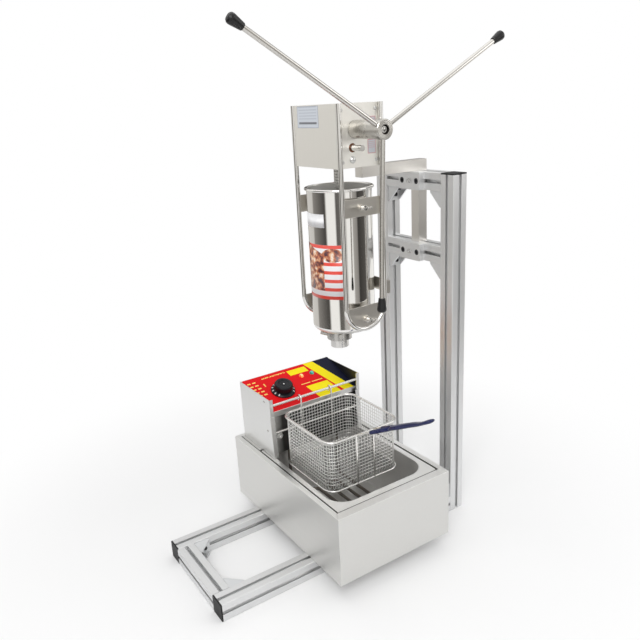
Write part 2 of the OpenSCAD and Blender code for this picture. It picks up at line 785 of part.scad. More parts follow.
// folded box of the control head, and the base plate that lies in the ledge under it
module head_shell() color(steel) {
    translate([fryer_x - pan_w / 2, pan_y1 + 2, ledge_z + gap])
        cube([pan_w, head_y1 - pan_y1 - 2, head_z - ledge_z - 2 * gap]);
    difference() {
        translate([hx0 + sheet, 0, 0]) rotate([90, 0, 90]) linear_extrude(head_w - 2 * sheet)
            polygon([[panel_y0, head_z], [head_y1, head_z], [head_y1, panel_z1 - 2],
                     [panel_y1 + 1, panel_z1 - 2], [panel_y0, panel_z0 - 2]]);
        translate([hx0, 0, 0]) rotate([90, 0, 90]) linear_extrude(head_w)
            polygon([[panel_y0 + sheet, head_z + sheet], [head_y1 - sheet, head_z + sheet],
                     [head_y1 - sheet, panel_z1 - 2 - sheet], [panel_y1, panel_z1 - 4],
                     [panel_y1 - 2, panel_z1 + 20], [panel_y0 + 8, panel_z0 + 20],
                     [panel_y0 + 6, panel_z0 - 6], [panel_y0 + sheet, panel_z0 - 10]]);
        for (s = [-1, 1]) translate([riser_x(s), element_y, head_z - 1]) cylinder(d = 8.2, h = 4);
        translate([sensor_x, panel_y0 - 1, sensor_z]) rotate([-90, 0, 0]) cylinder(d = 8, h = 4);
    }
}

// sheet along the slope, x from the left, s up the slope
module on_panel(x, s) {
    translate([x, panel_y0, panel_z0]) rotate([panel_a, 0, 0]) translate([0, s, 0]) children();
}

panel_l = sqrt(pow(panel_y1 - panel_y0, 2) + pow(panel_z1 - panel_z0, 2));

// printed sheet with its front edge folded down
module control_panel() color([0.85, 0.10, 0.12])
    difference() {
        union() {
            on_panel(hx0 + sheet, 0) cube([head_w - 2 * sheet, panel_l, panel_t]);
            translate([hx0 + sheet, panel_y0 - panel_t, panel_z0 - 11])
                cube([head_w - 2 * sheet, panel_t, 11 + panel_t * 0.9]);
        }
        on_panel(knob_x, knob_s) translate([0, 0, -1]) cylinder(d = 8.4, h = 5);
        for (x = [amber_x, green_x]) on_panel(x, lamp_s) translate([0, 0, -1]) cylinder(d = 9, h = 5);
    }

module lamp(x) on_panel(x, lamp_s) {
    translate([0, 0, -12]) cylinder(d = 9, h = 12 + panel_t);
    translate([0, 0, panel_t]) cylinder(d = 12, h = 1.2);
    translate([0, 0, panel_t + 1.2]) cylinder(d1 = 10.5, d2 = 8.5, h = 3.2);
}

module panel_lamps() color([0.95, 0.60, 0.25]) {
    lamp(amber_x);
    lamp(green_x);
}

module thermostat_knob() color(black)
    on_panel(knob_x, knob_s) translate([0, 0, panel_t + gap]) difference() {
        rotate_extrude($fn = 72)
            polygon([[0, 0], [30, 0], [30, 2], [27, 5], [22.9, 6], [22.5, 18.5], [20.6, 21.4],
                     [14.5, 22], [12, 20.4], [5.8, 19.2], [5.2, 18.6], [5, 19.7], [0, 20.1]]);
        translate([-0.8, 27, 1]) cube([1.6, 5, 6]);
    }

// the bar for the basket's hooks, and below it the one that the basket's back leans on
module hanging_bar() color(bright)
    for (p = [[bar_y, bar_z], [bar_y - hook_r + 2 + gap + bar_r, bar_z - bar_drop]])
        translate([hx0 + sheet, p[0], p[1]]) rotate([0, 90, 0]) cylinder(r = bar_r, h = head_w - 2 * sheet);

// thermostat body and stem, sensor gland at the front, cable gland at the back
module head_fittings() color(steel) {
    on_panel(knob_x, knob_s) translate([0, 0, -26]) {
        cylinder(d = 30, h = 26);
        cylinder(d = 8, h = 26 + panel_t);
    }
    translate([fryer_x + 70, head_y1, head_z + 30]) rotate([-90, 0, 0]) difference() {
        union() {
            cylinder(d = 22, h = 4, $fn = 6);
            cylinder(d = 16, h = 12);
        }
        translate([0, 0, 2]) cylinder(d = 9, h = 12);
    }
    translate([sensor_x, panel_y0, sensor_z]) rotate([90, 0, 0]) difference() {
        union() {
            translate([0, 0, -3]) cylinder(d = 8, h = 3);
            cylinder(d = 18, h = 2, $fn = 6);
            cylinder(d = 12, h = 5);
        }
        translate([0, 0, 1]) cylinder(d = 7, h = 5);
    }
}

sensor_x = hx0 + 27;
sensor_up = 45;
sensor_z = fz1 + sensor_up;
element_y = panel_y0 + 14;
element_z = pan_top - pan_depth + 26;
element_r = 4;
element_in = 55;                // from the bowl's front wall
element_front = bowl_y0 + element_in;
element_pitch = 28;

function riser_x(s) = fryer_x + s * element_pitch * 2.5;

module bar_between(p, length, turn) translate(p) rotate(turn) cylinder(r = element_r, h = length);

// one sheathed tube: down into the pan, forward, across in three hairpins, back and up again
module heating_element() color([0.35, 0.34, 0.33]) {
    bend = 18;
    pitch = element_pitch;
    back = element_y - bend;
    inner = back - 25;
    for (s = [-1, 1]) {
        x = riser_x(s);
        bar_between([x, element_y, element_z + bend], head_z + 12 - element_z - bend, [0, 0, 0]);
        translate([x, back, element_z + bend]) rotate([0, 0, 0]) rotate([0, 90, 0])
            rotate_extrude(angle = 90) translate([bend, 0]) circle(r = element_r);
        bar_between([x, back, element_z], back - element_front - pitch / 2, [90, 0, 0]);
        for (k = [0.5, 1.5])
            bar_between([fryer_x + s * pitch * k, inner, element_z],
                        inner - element_front - pitch / 2, [90, 0, 0]);
        translate([fryer_x + s * pitch * 2, element_front + pitch / 2, element_z]) rotate([0, 0, 180])
            rotate_extrude(angle = 180) translate([pitch / 2, 0]) circle(r = element_r);
        translate([fryer_x + s * pitch, inner, element_z]) rotate_extrude(angle = 180)
            translate([pitch / 2, 0]) circle(r = element_r);
    }
    translate([fryer_x, element_front + pitch / 2, element_z]) rotate([0, 0, 180])
        rotate_extrude(angle = 180) translate([element_pitch / 2, 0]) circle(r = element_r);
}

// ---- basket ----

// closed rounded rectangle of round wire at height z
module wire_ring(w, l, r, z, wr) {
    x = w / 2 - r;
    y = l / 2 - r;
    translate([basket_x, (basket_y0 + basket_y1) / 2, z]) {
        for (s = [-1, 1]) {
            translate([s * w / 2, -y, 0]) rotate([-90, 0, 0]) cylinder(r = wr, h = 2 * y);
            translate([-x, s * l / 2, 0]) rotate([0, 90, 0]) cylinder(r = wr, h = 2 * x);
        }
        for (a = [0 : 90 : 270]) rotate(a) {
            u = (a % 180 == 0) ? x : y;
            v = (a % 180 == 0) ? y : x;
            translate([u, v, 0]) rotate_extrude(angle = 90) translate([r, 0]) circle(r = wr);
        }
    }
}

module basket_frame() color(bright) {
    wire_ring(basket_w, basket_l, basket_r, rim_h, wire_r);
    wire_ring(basket_w - 1, basket_l - 1, basket_r - 0.5, basket_z + 2, 2);
    for (s = [-1, 1]) {
        // upright wires under the handle and at the hooks
        translate([basket_x + s * grip_y, basket_y0 + 0.5, basket_z + 2]) cylinder(r = 2, h = basket_h - 2);
        translate([basket_x + s * hook_x, basket_y1 - 0.5, basket_z + 2]) cylinder(r = 2, h = basket_h - 2);
        // hooks over the hanging bar
        translate([basket_x + s * hook_x, bar_y - hook_r, rim_h]) cylinder(r = 2, h = hook_z - rim_h);
        translate([basket_x + s * hook_x, bar_y, hook_z]) rotate([90, 0, 90])
            rotate_extrude(angle = 180) translate([hook_r, 0]) circle(r = 2);
        translate([basket_x + s * hook_x, bar_y + hook_r, hook_z - 8]) cylinder(r = 2, h = 8);
        // prongs of the handle
        along_grip() translate([s * grip_y, 0, 0]) rotate([0, -s * grip_in, 0])
            cylinder(r = 2.5, h = prong_l);
    }
    // stiffening wires under the mesh floor
    for (y = [0.36, 0.70, 0.92] * (basket_l - basket_r))
        translate([basket_x - (basket_w - 1) / 2, basket_y0 + y, floor_z - 1.5]) rotate([0, 90, 0])
            cylinder(r = 1.5, h = basket_w - 1);
}

module basket_mesh() color(bright) {
    t = 1.2;
    w = basket_w - 5;
    l = basket_l - 5;
    r = basket_r - wire_r;
    z0 = floor_z;
    z1 = rim_h + 1;
    cols = 9;
    rows = 6;
    cell = (z1 - z0 - 8) / rows;
    wx = (w - 2 * r + 8) / cols;
    wy = (l - 2 * r + 8) / cols;
    translate([basket_x, (basket_y0 + basket_y1) / 2, 0]) difference() {
        translate([0, 0, z0]) linear_extrude(z1 - z0) rounded(w, l, r);
        translate([0, 0, z0 + t]) linear_extrude(z1) rounded(w - 2 * t, l - 2 * t, r - t);
        for (i = [0 : cols - 1], k = [0 : rows - 1]) {
            translate([0, (i - (cols - 1) / 2) * wy, z0 + 5 + (k + 0.5) * cell])
                cube([2 * w, wy - 1.6, cell - 1.6], center = true);
            translate([(i - (cols - 1) / 2) * wx, 0, z0 + 5 + (k + 0.5) * cell])
                cube([wx - 1.6, 2 * l, cell - 1.6], center = true);
        }
        for (i = [0 : 7], k = [0 : 7])
            translate([(i - 3.5) * (w - 30) / 8, (k - 3.5) * (l - 30) / 8, z0])
                cube([(w - 30) / 8 - 1.8, (l - 30) / 8 - 1.8, 8], center = true);
    }
}

// along the handle: u out from the basket, the handle rises by grip_a
module along_grip() {
    translate([basket_x, basket_y0, rim_h]) rotate([90 - grip_a, 0, 0]) children();
}

module handle_grip() color([0.08, 0.12, 0.45])
    along_grip() {
        for (s = [-1, 1]) translate([s * grip_y, 0, 0]) rotate([0, -s * grip_in, 0])
            translate([0, 0, 46]) difference() {
                cylinder(r = 4.6, h = 66);
                translate([0, 0, -1]) cylinder(r = 2.5, h = 65);
            }
        translate([0, 5.2, prong_l + 0.5]) rotate([90, 0, 0]) linear_extrude(10.4)
            polygon([[-10.5, 0], [10.5, 0], [13.5, 30], [14.5, 70], [13, 100], [9, 122], [4, 130],
                     [-4, 130], [-9, 122], [-13, 100], [-14.5, 70], [-13.5, 30]]);
    }

base_rail_near();
base_rail_far();
cross_rail_front();
cross_rail_rear();
upright_near();
upright_far();
beam_upper();
beam_lower();
end_caps();
corner_brackets();
bracket_screws();
slot_nuts();
clamp_blocks();
clamp_screws();
post_set_screws();
support_arm();
support_post();
mount_bracket();
gear_housing();
side_plates();
gear_plate();
housing_screws();
shaft_bearings();
rack_guides();
rod_loop_near();
rod_loop_far();
side_straps();
bend_plates();
rear_strap();
wing_upper_near();
wing_upper_far();
wing_lower_near();
wing_lower_far();
hopper();
nozzle_nut();
nozzle();
piston();
piston_seal();
rack();
crank_shaft();
lever_hub();
lever_rods();
lever_knobs();
spindle_shaft();
spindle_gear();
rack_pinion();
fryer_body();
fryer_feet();
pan();
head_shell();
head_cheeks();
control_panel();
panel_lamps();
head_fittings();
hanging_bar();
heating_element();
thermostat_knob();
basket_frame();
basket_mesh();
handle_grip();
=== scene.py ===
import math

import bmesh
import bpy
from mathutils import Matrix, Vector


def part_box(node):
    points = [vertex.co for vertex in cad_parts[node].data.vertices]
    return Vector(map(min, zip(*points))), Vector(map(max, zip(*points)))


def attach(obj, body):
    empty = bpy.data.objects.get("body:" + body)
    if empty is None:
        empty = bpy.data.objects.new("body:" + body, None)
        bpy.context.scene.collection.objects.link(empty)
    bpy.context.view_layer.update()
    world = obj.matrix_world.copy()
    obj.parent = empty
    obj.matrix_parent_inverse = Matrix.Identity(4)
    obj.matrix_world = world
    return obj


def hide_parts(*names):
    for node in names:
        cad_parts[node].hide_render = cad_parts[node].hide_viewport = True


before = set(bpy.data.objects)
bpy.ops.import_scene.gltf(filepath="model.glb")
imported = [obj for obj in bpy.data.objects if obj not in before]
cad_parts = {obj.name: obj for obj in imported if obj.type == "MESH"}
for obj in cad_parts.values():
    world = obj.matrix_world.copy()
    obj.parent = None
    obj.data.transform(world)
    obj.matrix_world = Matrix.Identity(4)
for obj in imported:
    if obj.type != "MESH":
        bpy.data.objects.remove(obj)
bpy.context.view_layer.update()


# ---- Camera ----
# A standing viewer's place in front of the machine and to its left, a little above
# the hopper. The small roll is the photograph's own.
EYE = (-0.7366, -1.1839, 0.9891)
VIEW_TURN, VIEW_TILT, VIEW_ROLL = (math.radians(a) for a in (-32.7, 18.0, -3.1))
SENSOR_WIDTH, FOCAL_PIXELS, PICTURE_PIXELS = 36, 669, 640
camera = bpy.data.objects.new("camera", bpy.data.cameras.new("camera"))
bpy.context.collection.objects.link(camera)
away = Vector((math.sin(VIEW_TURN) * math.cos(VIEW_TILT),
               -math.cos(VIEW_TURN) * math.cos(VIEW_TILT), math.sin(VIEW_TILT)))
across = Vector((math.cos(VIEW_TURN), math.sin(VIEW_TURN), 0))
upward = away.cross(across)
rolled = (across * math.cos(VIEW_ROLL) + upward * math.sin(VIEW_ROLL),
          upward * math.cos(VIEW_ROLL) - across * math.sin(VIEW_ROLL))
camera.matrix_world = (Matrix.Translation(EYE)
                       @ Matrix((rolled[0], rolled[1], away)).transposed().to_4x4())
camera.data.sensor_width = SENSOR_WIDTH
camera.data.lens = SENSOR_WIDTH * FOCAL_PIXELS / PICTURE_PIXELS
camera.data.clip_end = 50
bpy.context.scene.camera = camera


# ---- Studio ----
# White sweep under and behind the machine, soft lamps above it, and the light and dark
# panels of a product studio, which only polished metal sees.
class Value:
    """A shader node's output, so that maths on it reads as Python."""

    def __init__(self, finish, socket):
        self.finish, self.socket = finish, socket

    def maths(self, operation, *terms):
        return self.finish.maths(operation, *terms)

    def __add__(self, other):
        return self.maths("ADD", self, other)

    def __sub__(self, other):
        return self.maths("SUBTRACT", self, other)

    def __rsub__(self, other):
        return self.maths("SUBTRACT", other, self)

    def __mul__(self, other):
        return self.maths("MULTIPLY", self, other)

    def __gt__(self, other):
        return self.maths("GREATER_THAN", self, other)

    def __lt__(self, other):
        return self.maths("LESS_THAN", self, other)

    __radd__ = __add__
    __rmul__ = __mul__


class Finish:
    """A material, or the world, whose nodes are written as expressions."""

    def __init__(self, name, owner=None):
        self.owner = owner or bpy.data.materials.new(name)
        self.owner.use_nodes = True
        self.tree = self.owner.node_tree
        self.shader = self.tree.nodes.get("Principled BSDF")
        self.place = None

    def feed(self, socket, value):
        if isinstance(value, Value):
            self.tree.links.new(value.socket, socket)
        elif socket.type == "RGBA":
            socket.default_value = (*value, 1)
        else:
            socket.default_value = value

    def add(self, kind, settings=None, sockets=None, output=0):
        """A node with its settings, such as a ramp's stops, and its sockets' values or links."""
        node = self.tree.nodes.new(kind)
        for name, value in (settings or {}).items():
            if name == "stops":
                stops = node.color_ramp.elements
                while len(stops) < len(value):
                    stops.new(1)
                for stop, (at, colour) in zip(stops, value):
                    stop.position, stop.color = at, (*colour, 1)
            else:
                setattr(node, name, value)
        for name, value in (sockets or {}).items():
            self.feed(node.inputs[name], value)
        return Value(self, node.outputs[output]) if node.outputs else node

    def maths(self, operation, *terms):
        return self.add("ShaderNodeMath", {"operation": operation}, dict(enumerate(terms)))

    def set(self, **values):
        for name, value in values.items():
            self.feed(self.shader.inputs[name.replace("_", " ")], value)
        return self

    def split(self, vector):
        """The three parts of a vector."""
        node = self.add("ShaderNodeSeparateXYZ", None, {0: vector}).socket.node
        return [Value(self, part) for part in node.outputs]

    def here(self):
        if self.place is None:
            self.place = self.add("ShaderNodeTexCoord", output="Object")
        return self.place

    def axes(self):
        return self.split(self.here())

    def radius(self, first, second):
        """How far a point lies from an axis, from its two parts across that axis."""
        return self.maths("SQRT", first * first + second * second)

    def noise(self, size, stretch=(1, 1, 1), detail=3.0):
        """Cloudy pattern with blotches of about that size in metres, longer where stretched."""
        spot = self.add("ShaderNodeMapping", None,
                        {"Vector": self.here(), "Scale": tuple(1 / (size * s) for s in stretch)})
        return self.add("ShaderNodeTexNoise", None,
                        {"Vector": spot, "Scale": 1.0, "Detail": detail})

    def blend(self, factor, first, second):
        return self.add("ShaderNodeMix", {"data_type": "RGBA"},
                        {0: factor, 6: first, 7: second}, output=2)

    def rise(self, value, start, end, low=0.0, high=1.0, curve="LINEAR"):
        """Goes from low to high while a value goes from start to end."""
        return self.add("ShaderNodeMapRange", {"interpolation_type": curve},
                        {0: value, 1: start, 2: end, 3: low, 4: high})

    def relief(self, height, depth, edge=0.0):
        """Bumps of a depth in metres, with sharp edges eased by a radius."""
        sockets = {"Height": height, "Distance": depth, "Strength": 1.0}
        if edge:
            sockets["Normal"] = self.add("ShaderNodeBevel", {"samples": 6}, {"Radius": edge})
        self.set(Normal=self.add("ShaderNodeBump", None, sockets))


# Panels below and above eye level: place round the studio from 0 to 1, and brightness.
LOW_PANELS = [(0.000, 0.07), (0.008, 0.22), (0.022, 1.0), (0.104, 1.0), (0.116, 0.12),
              (0.150, 0.16), (0.164, 0.50), (0.205, 0.58), (0.215, 1.0), (0.268, 1.0),
              (0.278, 0.42), (0.320, 0.30), (0.330, 0.05), (0.415, 0.10), (0.434, 1.0),
              (0.640, 1.0), (0.670, 0.72), (0.845, 0.66), (0.862, 0.28), (0.930, 0.17),
              (1.000, 0.07)]
HIGH_PANELS = [(0.000, 0.30), (0.045, 0.40), (0.070, 1.0), (0.250, 1.0), (0.290, 0.82),
               (0.375, 0.82), (0.400, 0.22), (0.620, 0.12), (0.770, 0.12), (0.790, 1.0),
               (0.885, 1.0), (0.900, 0.20), (1.000, 0.30)]
CEILING, GROUND, DAYLIGHT = (0.76, 0.76, 0.75), (0.80, 0.80, 0.79), (0.58, 0.58, 0.58)
WHITE_LIGHT = (1, 1, 1)
# Heights, as the sine of the angle above eye level, between which each part takes over.
HIGH_PANELS_FROM, CEILING_FROM, GROUND_FROM = (-0.11, -0.05), (0.15, 0.55), (-0.36, -0.48)

world = bpy.data.worlds.new("studio")
bpy.context.scene.world = world
sky = Finish("studio", world)
sky.tree.nodes.clear()
east, north, level = sky.split(sky.add("ShaderNodeTexCoord", output="Generated"))
round_studio = sky.maths("ARCTAN2", north, east) * (0.5 / math.pi) + 0.5


def panel_ring(panels):
    """Panels all round the studio. The darker ones are a little warmer."""
    stops = [(at, (v, v * (0.93 + 0.06 * v), v * (0.85 + 0.11 * v))) for at, v in panels]
    return sky.add("ShaderNodeValToRGB", {"stops": stops}, {0: round_studio})


mirrored = sky.blend(sky.rise(level, *HIGH_PANELS_FROM),
                     panel_ring(LOW_PANELS), panel_ring(HIGH_PANELS))
mirrored = sky.blend(sky.rise(level, *CEILING_FROM), mirrored, CEILING)
mirrored = sky.blend(sky.rise(level, *GROUND_FROM), mirrored, GROUND)
shown = sky.blend(sky.add("ShaderNodeLightPath", output="Is Glossy Ray"), DAYLIGHT, mirrored)
shown = sky.blend(sky.add("ShaderNodeLightPath", output="Is Camera Ray"), shown, WHITE_LIGHT)
lit = sky.add("ShaderNodeBackground", None, {"Color": shown, "Strength": 1.0})
sky.add("ShaderNodeOutputWorld", None, {"Surface": lit})

FLOOR_RADIUS, FLOOR_DROP = 1.35, 0.0005
FADE_START, FADE_END, FADE_LOW, FADE_HIGH = 0.45, 1.10, 0.10, 1.0
floor_mesh = bmesh.new()
bmesh.ops.create_circle(floor_mesh, cap_ends=True, radius=FLOOR_RADIUS, segments=64)
floor_data = bpy.data.meshes.new("floor")
floor_mesh.to_mesh(floor_data)
floor_mesh.free()
floor = bpy.data.objects.new("floor", floor_data)
floor.location.z = -FLOOR_DROP
bpy.context.collection.objects.link(floor)
sweep = Finish("white_sweep")
sweep.set(Base_Color=(0.9, 0.9, 0.9), Roughness=0.9, Specular_IOR_Level=0.0)
spread = sweep.add("ShaderNodeVectorMath", {"operation": "LENGTH"}, {0: sweep.here()}, output="Value")
fade = sweep.rise(spread, FADE_START, FADE_END, FADE_LOW, FADE_HIGH, "SMOOTHSTEP")
seen = sweep.add("ShaderNodeLightPath", output="Is Camera Ray")
white = sweep.add("ShaderNodeEmission", None, {"Color": WHITE_LIGHT, "Strength": 1.0})
matt = Value(sweep, sweep.shader.outputs["BSDF"])
cover = sweep.add("ShaderNodeMixShader", None, {0: seen * fade, 1: matt, 2: white})
sweep.feed(sweep.tree.nodes["Material Output"].inputs["Surface"], cover)
floor_data.materials.append(sweep.owner)


def lamp(name, place, aim, size, power):
    """A square soft lamp, turned to a point."""
    light = bpy.data.lights.new(name, "AREA")
    light.shape, light.size, light.energy = "SQUARE", size, power
    holder = bpy.data.objects.new(name, light)
    holder.location = place
    holder.rotation_euler = (Vector(aim) - Vector(place)).to_track_quat("-Z", "Y").to_euler()
    bpy.context.collection.objects.link(holder)


lamp("key_lamp", (-1.6, -2.0, 2.6), (0, 0, 0.5), size=1.6, power=48)
lamp("fill_lamp", (2.4, -1.6, 1.6), (0, 0, 0.5), size=1.8, power=15)
lamp("top_lamp", (0.2, 0.6, 3.2), (0, 0, 0.4), size=3.6, power=30)
bpy.context.scene.view_settings.view_transform = "Standard"


# ---- Slotted profiles ----
# Rails, uprights and beams are sawn from extruded 40 mm aluminium, clear anodised. The
# skin is fine-grained, with faint draw lines along each bar.
ANODISED_DARK, ANODISED_LIGHT = (0.68, 0.685, 0.69), (0.84, 0.84, 0.84)


def dress(finish, *nodes):
    """Gives nodes of the frame a finish in place of their plain colour."""
    for name in nodes:
        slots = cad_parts[name].data.materials
        slots.clear()
        slots.append(finish.owner)


def along(axes, ratio):
    """The stretch of a pattern that runs along an axis, or round in a plane of two."""
    return tuple(ratio if axis in axes else 1 for axis in "XYZ")


def anodised(name, axis):
    skin = Finish(name)
    lines = skin.noise(0.0012, along(axis, 120), detail=2.0)
    cloud = skin.noise(0.12)
    skin.set(Metallic=0.84, Roughness=0.34 + lines * 0.12 + cloud * 0.06,
             Base_Color=skin.blend(lines * 0.5 + cloud * 0.3, ANODISED_DARK, ANODISED_LIGHT))
    skin.relief(lines, 0.00004, edge=0.0006)
    return skin


dress(anodised("anodised_rails", "X"), "base_rail_near", "base_rail_far")
dress(anodised("anodised_cross_bars", "Y"),
      "cross_rail_front", "cross_rail_rear", "beam_upper", "beam_lower")
dress(anodised("anodised_uprights", "Z"), "upright_near", "upright_far")


# ---- End caps and feet ----
# Black moulded plastic, pressed into the open ends of the profiles, and the fryer's four
# moulded feet. Both have the same fine spark-eroded grain.
MOULDED_BLACK = (0.004, 0.004, 0.0045)


def moulded(name, shade, roughness, grain=0.0006, depth=0.00003):
    plastic = Finish(name)
    pebble = plastic.noise(grain, detail=2.0)
    rub = plastic.noise(0.02)
    rubbed = tuple(c * 1.5 + 0.004 for c in shade)
    plastic.set(Base_Color=plastic.blend(rub, shade, rubbed),
                Roughness=roughness + pebble * 0.1 + rub * 0.08)
    plastic.relief(pebble, depth, edge=0.0006)
    return plastic


dress(moulded("black_moulding", MOULDED_BLACK, roughness=0.42).set(Specular_IOR_Level=0.3),
      "end_caps", "fryer_feet")


# ---- Corner brackets and clamp blocks ----
# Die-cast brackets, tumbled to a dull grain, and blocks milled from flat bar. Cap screws
# are blackened, nuts and set screws zinc plated.
def scaled(shade, share):
    return tuple(c * share for c in shade)


def tumbled(name, shade, metallic, roughness):
    cast = Finish(name)
    pits = cast.noise(0.0016, detail=4.0)
    cloud = cast.noise(0.03)
    cast.set(Metallic=metallic, Roughness=roughness + pits * 0.16,
             Base_Color=cast.blend(cloud * 0.6 + pits * 0.4, scaled(shade, 0.86), shade))
    cast.relief(pits, 0.00006, edge=0.0008)
    return cast


dress(tumbled("cast_bracket", (0.78, 0.79, 0.80), metallic=0.75, roughness=0.38),
      "corner_brackets")
dress(anodised("milled_block", "Y"), "clamp_blocks")
dress(tumbled("blackened_screw", (0.05, 0.05, 0.055), metallic=0.6, roughness=0.32),
      "bracket_screws", "clamp_screws")
dress(tumbled("zinc_plate", (0.66, 0.66, 0.65), metallic=1.0, roughness=0.24),
      "slot_nuts", "post_set_screws", "housing_screws")


# ---- Support post and arm ----
# Square stainless tube, mitred and welded, then satin ground along its length; a bent
# plate joins it to the gear housing. The sheet has a warm, straw-coloured cast.
WARM_STEEL = (0.80, 0.775, 0.735)


def brushed(name, shade, stretch, roughness=0.26, contrast=0.12, edge=0.0006):
    sheet = Finish(name)
    grain = sheet.noise(0.0009, stretch)
    streak = sheet.noise(0.006, stretch, detail=2.0)
    smear = sheet.noise(0.09, detail=2.0)
    sheet.set(Metallic=1.0, Roughness=roughness + grain * 0.10 + smear * 0.06,
              Base_Color=sheet.blend(grain * 0.5 + streak * 0.3 + smear * 0.2,
                                     scaled(shade, 1 - contrast), shade))
    sheet.relief(grain, 0.00003, edge)
    return sheet


dress(brushed("ground_tube_across", WARM_STEEL, along("X", 60)), "support_arm", "mount_bracket")
dress(brushed("ground_tube_upright", WARM_STEEL, along("Z", 60)), "support_post")


# ---- Gear housing ----
# Folded stainless box closed by two screwed side plates. The plates carry the bearings;
# the sheet is satin polished, so it mirrors softly.
housing_sheet = brushed("housing_sheet", (0.88, 0.86, 0.81), along("Z", 40), 0.40, contrast=0.06)
dress(housing_sheet.set(Metallic=0.8), "gear_housing", "side_plates")
dress(brushed("inner_plate", (0.55, 0.55, 0.54), along("X", 40), 0.35), "gear_plate")


# ---- Foil plates ----
# Rating plate and two small plates of thin foil, glued on the gear housing. They carry a
# plain border, faint ruled lines and, on the large one, a dark band.
FOIL_T, FOIL_BORDER = 0.0003, 0.0012
RULE_COUNT, RULE_SHARE, RULES_FOOT, RULE_MARGIN = 7.5, 0.34, 0.34, 0.08
BAND_FOOT, BAND_TOP = 0.17, 0.27
SLATE, ROSE = (0.42, 0.45, 0.52), (0.62, 0.30, 0.32)


def add_piece(name, mesh, body, finish, smooth=True):
    """Puts a mesh in the scene as a piece that rides on a body."""
    for face in mesh.polygons:
        face.use_smooth = smooth
    mesh.materials.clear()
    mesh.materials.append(finish.owner)
    piece = bpy.data.objects.new(name, mesh)
    bpy.context.collection.objects.link(piece)
    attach(piece, body)
    return piece


def new_piece(name, work, body, finish, smooth=True):
    """Turns a bmesh into a piece, with its faces pointing outwards."""
    bmesh.ops.recalc_face_normals(work, faces=work.faces)
    mesh = bpy.data.meshes.new(name)
    work.to_mesh(mesh)
    work.free()
    return add_piece(name, mesh, body, finish, smooth)


def plate(low, high):
    """A flat plate between two corners."""
    work = bmesh.new()
    bmesh.ops.create_cube(work, size=1.0)
    bmesh.ops.scale(work, vec=[b - a for a, b in zip(low, high)], verts=work.verts)
    bmesh.ops.translate(work, vec=[(a + b) / 2 for a, b in zip(low, high)], verts=work.verts)
    return work


def inset(finish, low, high, margin, axes=(0, 1)):
    """1 where a surface lies further than a margin inside a box along each axis."""
    place = finish.axes()
    mask = 1.0
    for axis in axes:
        off_middle = finish.maths("ABSOLUTE", place[axis] - (low[axis] + high[axis]) / 2)
        mask = mask * (off_middle < (high[axis] - low[axis]) / 2 - margin)
    return mask


def foil(name, shade, line, low, high, axis, band):
    film = Finish(name)
    width, height = high[axis] - low[axis], high[2] - low[2]
    part_up = (film.axes()[2] - low[2]) * (1 / height)
    ruled = inset(film, low, high, RULE_MARGIN * width, (axis,))
    rules = (film.maths("FRACT", part_up * RULE_COUNT) < RULE_SHARE) * (part_up > RULES_FOOT) * ruled
    paint = film.blend(inset(film, low, high, FOIL_BORDER, (axis, 2)), line, shade)
    paint = film.blend(rules * 0.55, paint, line)
    if band:
        paint = film.blend((part_up > BAND_FOOT) * (part_up < BAND_TOP) * ruled, paint, band)
    film.set(Base_Color=paint, Metallic=0.2, Roughness=0.38 + film.noise(0.01) * 0.1)
    film.relief(film.noise(0.004), 0.00002)
    return film


left_face, front_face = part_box("gear_housing")[0].x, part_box("side_plates")[0].y
for name, low, high, axis, shade, line, band in (
        ("rating_plate", (left_face - FOIL_T, -0.016, 0.940), (left_face, 0.063, 0.983),
         1, (0.66, 0.70, 0.76), SLATE, (0.20, 0.21, 0.23)),
        ("side_plate_upper", (0.112, front_face - FOIL_T, 0.944), (0.131, front_face, 0.958),
         0, (0.56, 0.57, 0.60), ROSE, None),
        ("side_plate_lower", (0.110, front_face - FOIL_T, 0.886), (0.130, front_face, 0.914),
         0, (0.60, 0.62, 0.66), ROSE, None)):
    film = foil(name + "_foil", shade, line, low, high, axis, band)
    new_piece(name, plate(low, high), "extruder", film, smooth=False)


# ---- Drive ----
# Hardened shafts, spur gears and rack, cut and oiled; bronze bushes in the plates and
# white nylon guides behind the rack.
for name, shade, nodes in (("cut_gear_steel", (0.50, 0.50, 0.49), ("spindle_gear", "rack_pinion")),
                           ("cut_rack_steel", (0.74, 0.73, 0.71), ("rack",))):
    dress(brushed(name, shade, along("Y", 6), 0.28, contrast=0.2, edge=0.0003), *nodes)
dress(brushed("bush_bronze", (0.24, 0.125, 0.085), along("Y", 8), 0.3, contrast=0.15),
      "shaft_bearings")
dress(moulded("white_nylon", (0.80, 0.80, 0.77), roughness=0.4), "rack_guides")


# ---- Rod loops and straps ----
# Each loop is one 10 mm stainless bar, bent to a U and polished; straps and half-moon
# plates are cut from sheet and welded in. Wing screws are polished castings.
def polished(name, shade, roughness, wear=0.05, edge=0.0):
    steel = Finish(name)
    smear = steel.noise(0.035, along("Z", 3), detail=4.0)
    fine = steel.noise(0.0012, along("Z", 10), detail=2.0)
    steel.set(Metallic=1.0, Roughness=roughness + smear * wear + fine * 0.03,
              Base_Color=steel.blend(smear, scaled(shade, 0.93), shade))
    steel.relief(fine, 0.000002, edge)
    return steel


dress(polished("polished_rod", (0.74, 0.73, 0.71), 0.06, wear=0.03),
      "rod_loop_near", "rod_loop_far", "spindle_shaft", "crank_shaft")
dress(polished("satin_bar", (0.83, 0.82, 0.80), 0.22, wear=0.03), "hanging_bar")
dress(brushed("strap_sheet", (0.70, 0.67, 0.62), along("X", 60), 0.24),
      "side_straps", "bend_plates", "rear_strap")
dress(polished("wing_screw_cast", (0.62, 0.61, 0.59), 0.12, wear=0.1, edge=0.0006),
      "wing_upper_near", "wing_upper_far", "wing_lower_near", "wing_lower_far")


